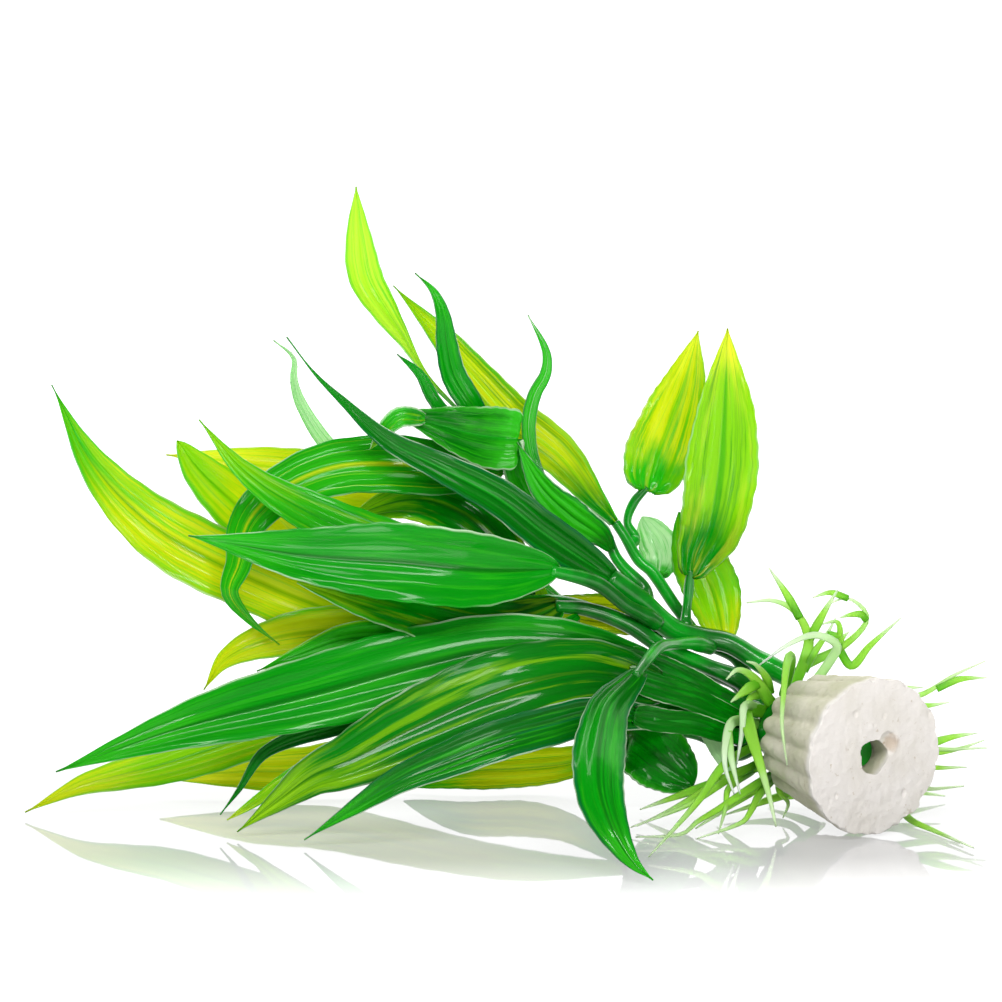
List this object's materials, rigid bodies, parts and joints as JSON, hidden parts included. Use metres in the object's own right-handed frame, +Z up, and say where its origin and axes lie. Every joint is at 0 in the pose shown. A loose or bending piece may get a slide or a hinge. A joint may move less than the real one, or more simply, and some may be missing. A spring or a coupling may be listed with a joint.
{
  "type": "artificial aquarium plant on a cast stone base",
  "caption": "Moulded plastic aquarium plant with lance-shaped leaves and grass sprigs, on a fluted cast stone weight, lying on its side.",
  "frame": {"origin": "centre of the bounding box's bottom face, on the surface that the plant lies on", "axes": "+Z up; +X along the plant's length, from the leaf tips towards the stone base; -Y is the side seen from the front"},
  "size_m": [0.2154, 0.1018, 0.1401],
  "materials": {
    "leaf_plastic": "glossy",
    "stem_plastic": "glossy",
    "grass_plastic": "satin",
    "cast_stone": "matte"
  },
  "bodies": {
    "root": {"grass_hanging_long": "grass_plastic", "grass_hanging_short": "grass_plastic", "grass_left_fork": "grass_plastic", "grass_low_left": "grass_plastic", "grass_low_middle": "grass_plastic", "grass_low_right": "grass_plastic", "grass_pale": "grass_plastic", "grass_right_high": "grass_plastic", "grass_right_low": "grass_plastic", "grass_right_middle": "grass_plastic", "grass_top_arch": "grass_plastic", "grass_top_curl": "grass_plastic", "grass_top_fork": "grass_plastic", "leaf_arching": "leaf_plastic", "leaf_back_yellow": "leaf_plastic", "leaf_behind_uprights": "leaf_plastic", "leaf_beside_folded": "leaf_plastic", "leaf_blunt_yellow": "leaf_plastic", "leaf_dark_back": "leaf_plastic", "leaf_dark_spike": "leaf_plastic", "leaf_drooping_front": "leaf_plastic", "leaf_far_left": "leaf_plastic", "leaf_floor_left": "leaf_plastic", "leaf_floor_middle": "leaf_plastic", "leaf_floor_yellow": "leaf_plastic", "leaf_folded_curl": "leaf_plastic", "leaf_front": "leaf_plastic", "leaf_light_middle": "leaf_plastic", "leaf_long_dark": "leaf_plastic", "leaf_long_yellow": "leaf_plastic", "leaf_low_front": "leaf_plastic", "leaf_low_light": "leaf_plastic", "leaf_low_yellow_back": "leaf_plastic", "leaf_lower_left": "leaf_plastic", "leaf_narrow_front": "leaf_plastic", "leaf_pale_small": "leaf_plastic", "leaf_pale_twisted": "leaf_plastic", "leaf_short_broad": "leaf_plastic", "leaf_top": "leaf_plastic", "leaf_top_hooked": "leaf_plastic", "leaf_top_thin": "leaf_plastic", "leaf_under_front": "leaf_plastic", "leaf_upright_left": "leaf_plastic", "leaf_upright_right": "leaf_plastic", "leaf_wavy": "leaf_plastic", "stalk_drooping": "stem_plastic", "stalk_upright_left": "stem_plastic", "stalk_upright_right": "stem_plastic", "stem_back": "stem_plastic", "stem_bottom": "stem_plastic", "stem_hidden": "stem_plastic", "stem_hub": "stem_plastic", "stem_left_lower": "stem_plastic", "stem_left_middle": "stem_plastic", "stem_left_upper": "stem_plastic", "stem_main": "stem_plastic", "stem_middle": "stem_plastic", "stem_top": "stem_plastic", "stem_upper": "stem_plastic", "stone_base": "cast_stone"}
  },
  "joints": []
}
